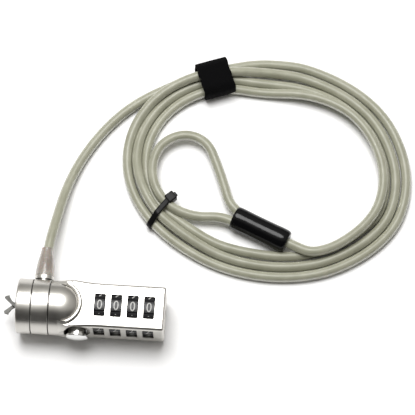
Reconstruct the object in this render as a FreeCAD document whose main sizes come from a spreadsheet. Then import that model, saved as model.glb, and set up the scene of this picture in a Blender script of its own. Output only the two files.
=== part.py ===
"""Laptop cable lock: a four-dial lock head on a coiled, vinyl-coated steel cable with a crimped loop.

Frame: millimetres, +X along the head from the claws to the end plate, +Y towards the cable's exit,
+Z up. The origin is on the floor, under the middle of the lock head.
"""
import FreeCAD, Part
import math
import os
import re

import Sketcher

V = FreeCAD.Vector
X_AXIS, Y_AXIS, Z_AXIS = V(1, 0, 0), V(0, 1, 0), V(0, 0, 1)

# Driving sizes, in mm or degrees. Heights called above or below are counted from the head's axis.
SIZES = {
    # stations along the head
    "nose_face": -29.2,
    "cap_length": 6.4,
    "collar_width": 7.3,
    "washer_thick": 0.3,
    "washer_play": 0.05,
    "dome_at": -10.6,
    "housing_end": 35.2,
    # sections
    "head_radius": 12,
    "slab_half": 10,
    "slab_above": 8.7,
    "slab_below": 10.5,
    "cover_thick": 2,
    "flare_end": 8,
    "flare_radius": 87,
    "top_round": 1.3,
    "bottom_round": 3,
    "end_round": 0.9,
    "bead_ring": 9.1,
    "bead_wire": 0.8,
    "groove_outer": 11,
    "groove_deep": 0.7,
    # swivel
    "post_radius": 7,
    "post_bore": 4.45,
    "post_start": -25.4,
    "post_end": -9,
    "washer_radius": 11.2,
    "running_gap": 0.05,
    "press_gap": 0.02,
    "boss_radius": 4.15,
    "boss_reach": 13.8,
    "boss_flange": 1.6,
    # dials
    "wheel_first": 7,
    "wheel_pitch": 7.15,
    "wheel_radius": 9.5,
    "wheel_width": 4.4,
    "wheel_bore": 4.53,
    "notch_deep": 0.5,
    "notch_half": 0.55,
    "pocket_radius": 9.8,
    "pocket_width": 4.9,
    "window_long": 10.2,
    "window_wide": 4.8,
    "side_slot_below": 3.7,
    "sleeve_radius": 4.5,
    "sleeve_length": 7,
    "sleeve_bore": 2.7,
    "chamber_radius": 4,
    "chamber_length": 3.6,
    "gate_width": 1.8,
    "key_half": 0.5,
    "key_radius": 5,
    # spindle
    "stroke": 2,
    "spindle_radius": 2.6,
    "spindle_end": 30.6,
    "land_start": -20.5,
    "land_end": -18.5,
    "land_radius": 4.4,
    "fork_start": -25.2,
    "fork_half_wide": 1.8,
    "fork_half_gap": 1.35,
    "fin_from_start": 1.9,
    "fin_length": 1.5,
    "fin_reach": 3.9,
    # claws
    "pivot_at": -26.9,
    "pivot_radius": 0.8,
    "pivot_half": 4,
    "claw_thick": 1.15,
    "claw_reach": 8.3,
    "claw_spread": 4.15,
    "claw_neck": 1.5,
    "tail_reach": 5.7,
    "drive_from_pivot": 2.6,
    "drive_radius": 0.6,
    "slot_run": 1.82,
    "slot_fall": 1.27,
    "slot_half": 0.77,
    # release button
    "button_at": -2.4,
    "button_radius": 4.8,
    "button_reach": 13.8,
    "button_back": 8.2,
    "button_dome": 14,
    "button_well": 6,
    "seat_radius": 3.3,
    "seat_depth": 5.1,
    "cup_radius": 3.2,
    "cup_depth": 10.8,
    "blade_half_wide": 1.6,
    "blade_thick": 1.8,
    "wedge_line": 0.6,
    "wedge_gap": 0.07,
    "recess_radius": 5.6,
    "recess_rise": 2.9,
    "recess_floor": 9.7,
    "stay_at": 4,
    "stay_radius": 0.6,
    # end plate and pins
    "plate_thick": 1.8,
    "plate_half_wide": 7.5,
    "plate_half_high": 6.5,
    "code_radius": 2.2,
    "code_slot": 0.8,
    "pin_radius": 0.7,
    # springs and detent
    "spindle_coil": 3.45,
    "spindle_wire": 0.3,
    "button_coil": 2.72,
    "button_wire": 0.25,
    "detent_line": 10.3,
    "detent_long": 27.6,
    "detent_wide": 4.2,
    "detent_thick": 0.3,
    "detent_bump": 0.5,
    # cable and what is on it
    "cable_radius": 2.2,
    "stop_radius": 3.2,
    "stop_start": 7.2,
    "stop_end": 9.8,
    "relief_length": 13.2,
    "ferrule_radius": 5.35,
    "ferrule_length": 26.5,
    "ferrule_wall": 0.75,
    "crimp_length": 16,
    "crimp_half": 1.6,
    "crimp_radius": 2.9,
    "ferrule_x": 74.6,
    "ferrule_y": 44.2,
    "ferrule_turn": -23.4,
    # coil: an oval about its own centre
    "coil_x": 76,
    "coil_y": 75,
    "coil_mean": 51.1,
    "coil_oval": 6.7,
    "coil_lean": -1.4,
    "coil_egg": -0.75,
    "coil_egg_lean": 0.6,
    "coil_outside": 7.3,
    "coil_inside": 6.7,
    "coil_high": 8.8,
    "coil_low": 5.4,
    "coil_low_until": 37,
    "strap_angle": 122.4,
    "strap_long": 15,
    "strap_thick": 1.2,
    "strap_inside": 6.9,
    "strap_outside": 8,
    "strap_high": 9.8,
    "strap_corner": 2.2,
    "tie_angle": 206.3,
    "tie_long": 2.6,
    "tie_thick": 1,
    "tie_inside": 7.2,
    "tie_outside": 7.8,
    "tie_high": 8.8,
    "tie_corner": 2.6,
    "tie_head": 4.2,
    "tie_head_rise": 3.2,
}
DIALS = (1, 2, 3, 4)
DIGITS = 10
HALF_DIGIT = math.pi / DIGITS

# The head's end of the cable: out of the collar, down to the floor, and up to the coil.
LEAD_ROUTE = [
    (-18.8, 9.8, 12.0),
    (-18.8, 26.0, 12.0),
    (-16.4, 42.0, 8.8),
    (-13.6, 59.3, 4.4),
    (-7.4, 75.8, 2.6),
    (2.6, 91.2, 2.4),
    (14.6, 103.2, 2.4),
    (29.4, 111.8, 2.8),
    (42.5, 118.4, 3.4),
]
# The cable's other end: out of the coil's inner turn and into the ferrule.
TAIL_ROUTE = [
    (81.94, 41.02, 5.35),
    (89.3, 37.85, 5.5),
    (97.2, 34.4, 6.8),
    (104.9, 36.6, 6.6),
]
# The loop, from the ferrule through the tie, round, and back into the ferrule.
LOOP_ROUTE = [
    (66.37, 45.31, 5.35),
    (56.6, 49.5, 5.2),
    (45.2, 48.6, 4.3),
    (33.6, 52.2, 5.2),
    (26.3, 60.0, 6.6),
    (23.6, 71.6, 5.5),
    (27.0, 82.6, 5.4),
    (37.4, 88.6, 5.1),
    (48.2, 85.2, 5.0),
    (53.4, 74.0, 5.0),
    (57.4, 63.4, 5.1),
    (60.8, 53.6, 5.3),
    (68.15, 49.44, 5.35),
]

doc = FreeCAD.newDocument("cable_lock")
sheet = doc.addObject("Spreadsheet::Sheet", "sizes")
for row, (alias, number) in enumerate(SIZES.items(), 1):
    sheet.set(f"A{row}", alias)
    sheet.set(f"B{row}", str(number))
    sheet.setAlias(f"B{row}", alias)
doc.recompute()


def size(alias):
    """A driving size, as the sheet holds it."""
    return float(sheet.get(alias))


def bound(text):
    """An expression over the sheet: each alias becomes a reference to its cell."""
    return re.sub(r"[a-z_]+", lambda word: f"sizes.{word[0]}" if word[0] in SIZES else word[0], str(text))


TURNS = {
    "x": FreeCAD.Rotation(Y_AXIS, 90),
    "y": FreeCAD.Rotation(X_AXIS, -90),
    "z": FreeCAD.Rotation(),
}


def place(obj, at, turn=FreeCAD.Rotation()):
    """Put an object at three expressions, turned."""
    obj.Placement = FreeCAD.Placement(V(), turn)
    for letter, text in zip("xyz", at):
        obj.setExpression(f"Placement.Base.{letter}", bound(text))
    return obj


def rod(name, radius, length, at, along="x"):
    """A round bar that starts at a point and runs along one axis."""
    obj = doc.addObject("Part::Cylinder", name)
    obj.setExpression("Radius", bound(radius))
    obj.setExpression("Height", bound(length))
    return place(obj, at, TURNS[along])


def block(name, sides, corner):
    """A box from its lowest corner."""
    obj = doc.addObject("Part::Box", name)
    for side, text in zip(("Length", "Width", "Height"), sides):
        obj.setExpression(side, bound(text))
    return place(obj, corner)


def fuse(name, *pieces):
    obj = doc.addObject("Part::MultiFuse", name)
    obj.Shapes = list(pieces)
    return obj


def cut(name, base, *tools):
    obj = doc.addObject("Part::Cut", name)
    obj.Base = base
    obj.Tool = tools[0] if len(tools) == 1 else fuse(f"{name}_cutters", *tools)
    return obj


def common(name, *pieces):
    obj = doc.addObject("Part::MultiCommon", name)
    obj.Shapes = list(pieces)
    return obj


def group(name, *pieces):
    """Separate solids that share one node."""
    obj = doc.addObject("Part::Compound", name)
    obj.Links = list(pieces)
    return obj


def rounded(name, base, choose):
    """Round the edges for which choose(edge) gives a radius."""
    doc.recompute()
    obj = doc.addObject("Part::Fillet", name)
    obj.Base = base
    chosen = []
    for number, edge in enumerate(base.Shape.Edges, 1):
        radius = choose(edge)
        if radius:
            chosen.append((number, radius, radius))
    obj.Edges = chosen
    return obj


def middle(edge):
    return edge.valueAt((edge.FirstParameter + edge.LastParameter) / 2)


def upright(edge):
    return abs(edge.tangentAt(0).z) > 0.9


def drawing(body, name, role):
    """A sketch on one of the body's own origin planes."""
    sketch = body.newObject("Sketcher::SketchObject", name)
    plane = next(f for f in body.Origin.OriginFeatures if f.Role == role)
    sketch.AttachmentSupport = [(plane, "")]
    sketch.MapMode = "FlatFace"
    return sketch


def outline(sketch, corners):
    """A closed outline of straight sides; every corner's two distances are bound to the sheet."""
    count = len(corners)
    first = sketch.GeometryCount
    ring = [V(math.cos(math.tau * k / count), math.sin(math.tau * k / count), 0) for k in range(count)]
    for k in range(count):
        sketch.addGeometry(Part.LineSegment(ring[k], ring[(k + 1) % count]), False)
    for k, corner in enumerate(corners):
        sketch.addConstraint(Sketcher.Constraint("Coincident", first + k, 2, first + (k + 1) % count, 1))
        for kind, text in zip(("DistanceX", "DistanceY"), corner):
            number = sketch.addConstraint(Sketcher.Constraint(kind, -1, 1, first + k, 1, 1.0))
            sketch.setExpression(f"Constraints[{number}]", bound(text))


def ring(sketch, radius):
    """A circle about the sketch's origin."""
    circle = sketch.addGeometry(Part.Circle(V(), Z_AXIS, 1), False)
    sketch.addConstraint(Sketcher.Constraint("Coincident", circle, 3, -1, 1))
    number = sketch.addConstraint(Sketcher.Constraint("Radius", circle, 1.0))
    sketch.setExpression(f"Constraints[{number}]", bound(radius))


def prism(name, corners, thick, at):
    """A flat plate: an outline in the XY plane, padded upwards from a point."""
    body = doc.addObject("PartDesign::Body", name)
    sketch = drawing(body, f"{name}_outline", "XY_Plane")
    outline(sketch, corners)
    pad = body.newObject("PartDesign::Pad", f"{name}_pad")
    pad.Profile = sketch
    pad.setExpression("Length", bound(thick))
    return place(body, at)


def spun(name, corners, at, turn=FreeCAD.Rotation()):
    """A turned piece: a half profile in the XY plane, revolved about the body's Y axis."""
    body = doc.addObject("PartDesign::Body", name)
    sketch = drawing(body, f"{name}_profile", "XY_Plane")
    outline(sketch, corners)
    turned = body.newObject("PartDesign::Revolution", f"{name}_turned")
    turned.Profile = sketch
    axis = next(f for f in body.Origin.OriginFeatures if f.Role == "Y_Axis")
    turned.ReferenceAxis = (axis, [""])
    turned.Angle = 360
    return place(body, at, turn)


CAP_END = "nose_face + cap_length"
COLLAR_START = f"{CAP_END} + washer_thick + washer_play"
COLLAR_MIDDLE = f"{COLLAR_START} + collar_width / 2"
REAR_WASHER = f"{COLLAR_START} + collar_width + washer_play"
HOUSING_START = f"{REAR_WASHER} + washer_thick"
BORE_START = "wheel_first - sleeve_length / 2 - 0.3"
PLATE_START = "housing_end - plate_thick"


def wheel_centre(dial):
    return f"wheel_first + {dial - 1} * wheel_pitch"


# ---------------------------------------------------------------- swivel and cable end


def make_nose_cap():
    """The turned cap at the laptop end, with the slot that the claws come out of."""
    disc = rod("nose_disc", "head_radius", "cap_length", ("nose_face", "0", "head_radius"))
    at_face = size("nose_face")
    smooth = rounded("nose_smooth", disc, lambda e: 0.7 if middle(e).x < at_face + 0.01 else 0.2)
    claw_slot = block(
        "claw_slot",
        ("post_start - nose_face + 1.1", "4.8", "2 * fork_half_gap"),
        ("nose_face - 1", "-2.4", "head_radius - fork_half_gap"),
    )
    post_seat = rod(
        "post_seat",
        "post_radius + press_gap",
        f"{CAP_END} - post_start + 1",
        ("post_start", "0", "head_radius"),
    )
    pin_hole = rod(
        "claw_pin_hole",
        "pivot_radius + press_gap",
        "2 * pivot_half",
        ("pivot_at", "0", "head_radius - pivot_half"),
        "z",
    )
    return cut("nose_cap", smooth, claw_slot, post_seat, pin_hole)


def make_swivel_post():
    """The tube that ties the nose cap to the housing through the collar."""
    tube = rod("post_tube", "post_radius", "post_end - post_start", ("post_start", "0", "head_radius"))
    bore = rod(
        "post_hollow", "post_bore", "post_end - post_start + 2", ("post_start - 1", "0", "head_radius")
    )
    return cut("swivel_post", tube, bore)


def make_thrust_washers():
    """Two thin washers that the collar turns between."""
    washers = []
    for side, start in (("front", CAP_END), ("rear", REAR_WASHER)):
        disc = rod(f"{side}_washer_disc", "washer_radius", "washer_thick", (start, "0", "head_radius"))
        hole = rod(
            f"{side}_washer_hole",
            "post_radius + press_gap",
            "washer_thick + 2",
            (f"{start} - 1", "0", "head_radius"),
        )
        washers.append(cut(f"{side}_washer", disc, hole))
    return group("thrust_washers", *washers)


def make_swivel_collar():
    """The ring that turns on the post and carries the cable out through its boss."""
    ring_blank = rod("collar_blank", "head_radius", "collar_width", (COLLAR_START, "0", "head_radius"))
    smooth = rounded("collar_smooth", ring_blank, lambda e: 0.25)
    neck = rod(
        "collar_neck",
        "collar_width / 2 - 0.1",
        "boss_reach - 10.2",
        (COLLAR_MIDDLE, "10", "head_radius"),
        "y",
    )
    flange = rod(
        "collar_flange",
        "boss_radius",
        "boss_flange",
        (COLLAR_MIDDLE, "boss_reach - boss_flange", "head_radius"),
        "y",
    )
    bore = rod(
        "collar_bore",
        "post_radius + running_gap",
        "collar_width + 2",
        (f"{COLLAR_START} - 1", "0", "head_radius"),
    )
    stop_pocket = rod(
        "stop_pocket", "stop_radius + 0.1", "stop_end - 6", (COLLAR_MIDDLE, "6", "head_radius"), "y"
    )
    cable_hole = rod("cable_hole", "cable_radius + 0.1", "10", (COLLAR_MIDDLE, "6", "head_radius"), "y")
    return cut(
        "swivel_collar", fuse("collar_with_boss", smooth, neck, flange), bore, stop_pocket, cable_hole
    )


def make_cable_end_stop():
    """The stud crimped on the cable's end, seated inside the collar."""
    return rod(
        "cable_end_stop",
        "stop_radius",
        "stop_end - stop_start",
        (COLLAR_MIDDLE, "stop_start", "head_radius"),
        "y",
    )


def make_cable_sleeve():
    """The strain relief: a bullet-shaped sleeve on the collar's boss, open for the cable."""
    inner = "cable_radius + 0.05"
    profile = [
        (inner, "0"),
        ("boss_radius", "0"),
        ("boss_radius", "0.09 * relief_length"),
        ("0.94 * boss_radius", "0.3 * relief_length"),
        ("0.84 * boss_radius", "0.52 * relief_length"),
        ("0.7 * boss_radius", "0.74 * relief_length"),
        ("0.62 * boss_radius", "0.88 * relief_length"),
        ("0.6 * boss_radius", "relief_length"),
        (inner, "relief_length"),
    ]
    return spun("cable_sleeve", profile, (COLLAR_MIDDLE, "boss_reach", "head_radius"))


# ---------------------------------------------------------------- housing


def make_head_limit():
    """The envelope that blends the square body into the round head."""
    cone = doc.addObject("Part::Cone", "limit_cone")
    cone.setExpression("Radius1", bound("head_radius + press_gap"))
    cone.setExpression("Radius2", bound("head_radius + 3"))
    cone.setExpression("Height", bound("15"))
    place(cone, ("dome_at", "0", "head_radius"), TURNS["x"])
    rest = rod(
        "limit_bar", "head_radius + 3", "housing_end - dome_at", ("dome_at + 15", "0", "head_radius")
    )
    return fuse("head_limit", cone, rest)


def make_body_block(limit):
    """The square-section body: straight sides that flare into the round head, edges rounded."""
    bottom = "head_radius - slab_below"
    high = "slab_above + slab_below"
    straight = block(
        "body_straight",
        ("housing_end - flare_end", "2 * slab_half", high),
        ("flare_end", "-1 * slab_half", bottom),
    )
    wide = block(
        "body_wide",
        ("flare_end - dome_at", "2 * head_radius + 4", high),
        ("dome_at", "-1 * head_radius - 2", bottom),
    )
    curves = [
        rod(
            f"flare_{name}",
            "flare_radius",
            "60",
            ("flare_end", f"{sign} * (slab_half + flare_radius)", "-20"),
            "z",
        )
        for name, sign in (("rear", 1), ("front", -1))
    ]
    body = fuse("body_square", straight, cut("body_flared", wide, *curves))
    body.Refine = True
    top_z = size("head_radius") + size("slab_above")
    bottom_z = size("head_radius") - size("slab_below")

    def long_edges(edge):
        point = middle(edge)
        if abs(point.y) < size("slab_half") - 0.5:
            return 0
        if abs(point.z - top_z) < 0.01:
            return size("top_round")
        return size("bottom_round") if abs(point.z - bottom_z) < 0.01 else 0

    def end_edges(edge):
        on_end = abs(edge.BoundBox.XMin - size("housing_end")) < 0.01
        return size("end_round") if on_end else 0

    soft = rounded("body_long_rounds", body, long_edges)
    softer = rounded("body_end_rounds", soft, end_edges)
    return common("body_block", softer, limit)


def make_recess():
    """The oval thumb recess round the release button."""
    depth = "20 - recess_floor"
    low = rod("recess_low", "recess_radius", depth, ("button_at", "-20", "head_radius"), "y")
    high = rod(
        "recess_high", "recess_radius", depth, ("button_at", "-20", "head_radius + recess_rise"), "y"
    )
    between = block(
        "recess_between",
        ("2 * recess_radius", depth, "recess_rise"),
        ("button_at - recess_radius", "-20", "head_radius"),
    )
    return fuse("thumb_recess", low, high, between)


def make_wheel_pockets():
    """Four round pockets that the dial wheels turn in."""
    return fuse(
        "wheel_pockets",
        *[
            rod(
                f"wheel_pocket_{dial}",
                "pocket_radius",
                "pocket_width",
                (f"{wheel_centre(dial)} - pocket_width / 2", "0", "head_radius"),
            )
            for dial in DIALS
        ],
    )


def make_cover_zone():
    """The space of the top cover: a slice off the body's top, ending at the groove round the dome."""
    zone = block(
        "cover_slice",
        ("housing_end - dome_at + 5", "40", "10"),
        ("dome_at", "-20", "head_radius + slab_above - cover_thick"),
    )
    dome_disc = rod("cover_end_disc", "groove_outer", "40", ("dome_at", "0", "0"), "z")
    return cut("cover_zone", zone, dome_disc)


def make_groove():
    """The groove between the dome's bead and the top cover."""
    start = "head_radius + slab_above - groove_deep"
    wide = rod("groove_wide", "groove_outer", "10", ("dome_at", "0", start), "z")
    core = rod("groove_core", "bead_ring + bead_wire", "20", ("dome_at", "0", f"{start} - 5"), "z")
    ahead = block("groove_ahead", ("40", "40", "20"), ("dome_at", "-20", f"{start} - 5"))
    return common("dome_groove", cut("groove_ring", wide, core), ahead)


def make_bead(limit):
    """The raised rounded lip round the dome."""
    torus = doc.addObject("Part::Torus", "bead_torus")
    torus.setExpression("Radius1", bound("bead_ring"))
    torus.setExpression("Radius2", bound("bead_wire"))
    place(torus, ("dome_at", "0", "head_radius + slab_above"))
    ahead = block("bead_ahead", ("40", "40", "20"), ("dome_at", "-20", "head_radius"))
    return common("dome_bead", torus, ahead, limit)


def cover_pin(name, radius, at, side, start, length):
    return rod(name, radius, length, (at, f"{side} * 8", start), "z")


COVER_PINS = [(at, side) for at in ("wheel_first - 4.6", "housing_end - 2.3") for side in (1, -1)]


def make_cover_pins(name, radius, extra):
    """Four short pins between the housing and the cover, or with a larger radius their holes."""
    start = f"head_radius + slab_above - cover_thick - 1.7 - {extra}"
    return [
        cover_pin(f"{name}_{number}", radius, at, side, start, f"3 + 2 * {extra}")
        for number, (at, side) in enumerate(COVER_PINS, 1)
    ]


def make_plate_pins(name, radius, extra):
    """Two pins driven up from below that hold the end plate."""
    return [
        rod(
            f"{name}_{number}",
            radius,
            f"6.4 + {extra}",
            (
                f"{PLATE_START} + plate_thick / 2",
                f"{side} * 5",
                f"head_radius - slab_below + 0.1 - {extra}",
            ),
            "z",
        )
        for number, side in ((1, 1), (2, -1))
    ]


def make_stay_pin(name, radius, extra):
    """The upright pin that keeps the button from falling out, or its hole."""
    return rod(
        name,
        radius,
        f"13.2 + 2 * {extra}",
        ("button_at + stay_at", "-9", f"head_radius - 9.2 - {extra}"),
        "z",
    )


def corner_slab(name, start, long, wide, thick, line):
    """A flat slab across the lower rear corner; line is its outer face's distance from the head's axis."""
    slab = block(name, (long, wide, thick), ("0", "0", "0"))
    at = (
        start,
        f"({line} - ({wide}) / 2) * sqrt(0.5)",
        f"head_radius - ({line} + ({wide}) / 2) * sqrt(0.5)",
    )
    return place(slab, at, FreeCAD.Rotation(X_AXIS, 45))


def make_detent_slot():
    """The slot in the lower rear corner that holds the detent strip."""
    return corner_slab(
        "detent_slot",
        "wheel_first - 3.4",
        "detent_long + 0.8",
        "detent_wide + 0.6",
        "3 * detent_thick",
        "detent_line + 0.25",
    )


def make_housing(block_of_body, limit, zone, groove, recess, pockets):
    """The zinc casting: head, dome, body, and everything bored in it."""
    head = rod(
        "head_drum", "head_radius", f"dome_at - ({HOUSING_START})", (HOUSING_START, "0", "head_radius")
    )
    smooth_head = rounded("head_smooth", head, lambda e: 0.25 if middle(e).x < size("dome_at") - 1 else 0)
    dome = doc.addObject("Part::Sphere", "dome")
    dome.setExpression("Radius", bound("head_radius"))
    dome.Angle1 = 0
    place(dome, ("dome_at", "0", "head_radius"), TURNS["x"])
    solid = fuse("housing_solid", smooth_head, dome, block_of_body, make_bead(limit))
    bores = [
        rod(
            "post_bore_seat",
            "post_radius + press_gap",
            f"post_end - ({HOUSING_START}) + 1",
            (f"{HOUSING_START} - 1", "0", "head_radius"),
        ),
        rod("spindle_bore", "spindle_radius + running_gap", "20", ("post_end - 1", "0", "head_radius")),
        rod(
            "sleeve_bore_hole",
            "sleeve_radius + running_gap",
            f"{PLATE_START} - ({BORE_START}) + 0.5",
            (BORE_START, "0", "head_radius"),
        ),
        rod(
            "button_bore", "button_radius + 0.1", "20 - button_well", ("button_at", "-20", "head_radius"), "y"
        ),
        rod("spring_seat", "seat_radius", "20 - seat_depth", ("button_at", "-20", "head_radius"), "y"),
        block(
            "blade_passage",
            ("2 * blade_half_wide + 0.2", "seat_depth + 3.5", "blade_thick + 0.2"),
            (
                "button_at - blade_half_wide - 0.1",
                "-1 * seat_depth - 0.2",
                "head_radius - blade_thick / 2 - 0.1",
            ),
        ),
        block(
            "plate_pocket",
            ("plate_thick + 1", "2 * plate_half_wide + 0.04", "2 * plate_half_high + 0.04"),
            (PLATE_START, "-1 * plate_half_wide - 0.02", "head_radius - plate_half_high - 0.02"),
        ),
        make_stay_pin("stay_hole", "stay_radius + press_gap", "0.02"),
        make_detent_slot(),
    ]
    slots = [
        block(
            f"side_slot_{dial}",
            ("window_wide", "40", "side_slot_below + slab_above"),
            (f"{wheel_centre(dial)} - window_wide / 2", "-20", "head_radius - side_slot_below"),
        )
        for dial in DIALS
    ]
    core = block(
        "slot_core",
        ("60", "2 * slab_half - 3", "40"),
        ("dome_at", "-1 * slab_half + 1.5", "-10"),
    )
    sides = cut("side_slots", fuse("side_slots_through", *slots), core)
    holes = make_cover_pins("cover_pin_hole", "pin_radius + press_gap", "0.02")
    holes += make_plate_pins("plate_pin_hole", "pin_radius + press_gap", "0.2")
    return cut("housing", solid, zone, groove, recess, pockets, sides, *bores, *holes)


def make_top_cover(block_of_body, zone, recess, pockets):
    """The cover plate with its four windows."""
    plate = common("cover_plate", block_of_body, zone)
    windows = []
    for dial in DIALS:
        blank = block(
            f"window_{dial}",
            ("window_wide", "window_long", "6"),
            (
                f"{wheel_centre(dial)} - window_wide / 2",
                "-1 * window_long / 2",
                "head_radius + slab_above - 3",
            ),
        )
        windows.append(rounded(f"window_{dial}_round", blank, lambda e: 0.5 if upright(e) else 0))
    holes = make_cover_pins("cover_hole", "pin_radius + press_gap", "0.02")
    return cut("top_cover", plate, recess, pockets, *windows, *holes)


# ---------------------------------------------------------------- dials


def make_dial_wheel(dial):
    """A dial wheel: a ring with ten finger notches outside and ten keyways inside."""
    name = f"dial_wheel_{dial}"
    body = doc.addObject("PartDesign::Body", name)
    face = drawing(body, f"{name}_face", "YZ_Plane")
    ring(face, "wheel_radius")
    ring(face, "wheel_bore")
    pad = body.newObject("PartDesign::Pad", f"{name}_pad")
    pad.Profile = face
    pad.Midplane = True
    pad.setExpression("Length", bound("wheel_width"))
    doc.recompute()
    cuts = drawing(body, f"{name}_cuts", "YZ_Plane")
    across = f"{math.sin(HALF_DIGIT):.5f}"
    up = f"{math.cos(HALF_DIGIT):.5f}"
    root = "(wheel_radius - notch_deep)"
    rim = "(wheel_radius + 0.5)"
    spread = "2 * notch_half"
    outline(
        cuts,
        [
            (f"{root} * {across}", f"{root} * {up}"),
            (f"{rim} * {across} + {spread} * {up}", f"{rim} * {up} - {spread} * {across}"),
            (f"{rim} * {across} - {spread} * {up}", f"{rim} * {up} + {spread} * {across}"),
        ],
    )
    outline(
        cuts,
        [
            ("-1 * key_half - 0.1", "-1 * key_radius - 0.1"),
            ("key_half + 0.1", "-1 * key_radius - 0.1"),
            ("key_half + 0.1", "-1 * wheel_bore + 0.3"),
            ("-1 * key_half - 0.1", "-1 * wheel_bore + 0.3"),
        ],
    )
    pocket = body.newObject("PartDesign::Pocket", f"{name}_pocket")
    pocket.Profile = cuts
    pocket.Midplane = True
    pocket.setExpression("Length", bound("2 * wheel_width"))
    doc.recompute()
    pattern = body.newObject("PartDesign::PolarPattern", f"{name}_pattern")
    pattern.Originals = [pocket]
    axis = next(f for f in body.Origin.OriginFeatures if f.Role == "X_Axis")
    pattern.Axis = (axis, [""])
    pattern.Angle = 360
    pattern.Occurrences = DIGITS
    body.Tip = pattern
    return place(body, (wheel_centre(dial), "0", "head_radius"))


def make_clutch_sleeve(dial):
    """The sleeve inside a wheel: a chamber that a fin turns freely in, and a web with the gate."""
    name = f"clutch_sleeve_{dial}"
    start = f"{wheel_centre(dial)} - sleeve_length / 2"
    tube = rod(f"{name}_tube", "sleeve_radius", "sleeve_length", (start, "0", "head_radius"))
    key = block(
        f"{name}_key",
        ("2", "2 * key_half", "key_radius - 4"),
        (f"{wheel_centre(dial)} - 1", "-1 * key_half", "head_radius - key_radius"),
    )
    bore = rod(f"{name}_bore", "sleeve_bore", "sleeve_length + 2", (f"{start} - 1", "0", "head_radius"))
    chamber = rod(
        f"{name}_chamber", "chamber_radius", "chamber_length + 1", (f"{start} - 1", "0", "head_radius")
    )
    gates = [
        block(
            f"{name}_gate",
            ("sleeve_length + 2", "gate_width", "chamber_radius"),
            (f"{start} - 1", "-1 * gate_width / 2", "head_radius"),
        ),
        block(
            f"{name}_set_notch",
            ("sleeve_length + 2", "chamber_radius", "gate_width"),
            (f"{start} - 1", "0", "head_radius - gate_width / 2"),
        ),
    ]
    return cut(name, fuse(f"{name}_keyed", tube, key), bore, chamber, *gates)


# ---------------------------------------------------------------- spindle and claws


def make_spindle():
    """The rod that slides when the button is pressed: fork, guide land, wedge window and four fins."""
    shaft = rod(
        "spindle_shaft", "spindle_radius", "spindle_end - land_start", ("land_start", "0", "head_radius")
    )
    land = rod("spindle_land", "land_radius", "land_end - land_start", ("land_start", "0", "head_radius"))
    fork = block(
        "spindle_fork",
        ("land_start - fork_start", "2 * fork_half_wide", "2 * spindle_radius"),
        ("fork_start", "-1 * fork_half_wide", "head_radius - spindle_radius"),
    )
    fins = [
        block(
            f"spindle_fin_{dial}",
            ("fin_length", "fin_length", "fin_reach - 2"),
            (
                f"{wheel_centre(dial)} - sleeve_length / 2 + fin_from_start",
                "-1 * fin_length / 2",
                "head_radius + 2",
            ),
        )
        for dial in DIALS
    ]
    fork_gap = block(
        "fork_gap",
        ("land_start - fork_start - 0.3 + 1", "10", "2 * fork_half_gap"),
        ("fork_start - 1", "-5", "head_radius - fork_half_gap"),
    )
    pin_hole = rod(
        "fork_pin_hole",
        "drive_radius + press_gap",
        "10",
        ("pivot_at + drive_from_pivot", "0", "head_radius - 5"),
        "z",
    )
    left = "button_at - blade_half_wide - stroke - 0.15"
    window = prism(
        "wedge_window",
        [
            (left, "-3"),
            ("button_at - wedge_line + 3", "-3"),
            ("button_at - wedge_line - 3", "3"),
            (left, "3"),
        ],
        "blade_thick + 0.2",
        ("0", "0", "head_radius - blade_thick / 2 - 0.1"),
    )
    return cut("spindle", fuse("spindle_solid", shaft, land, fork, *fins), fork_gap, pin_hole, window)


def make_drive_pin():
    """The pin across the fork that works both claws."""
    return rod(
        "drive_pin",
        "drive_radius",
        "2 * spindle_radius - 0.4",
        ("pivot_at + drive_from_pivot", "0", "head_radius - spindle_radius + 0.2"),
        "z",
    )


def make_claw_pin():
    return rod(
        "claw_pivot_pin",
        "pivot_radius",
        "2 * pivot_half - 0.2",
        ("pivot_at", "0", "head_radius - pivot_half + 0.1"),
        "z",
    )


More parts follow.
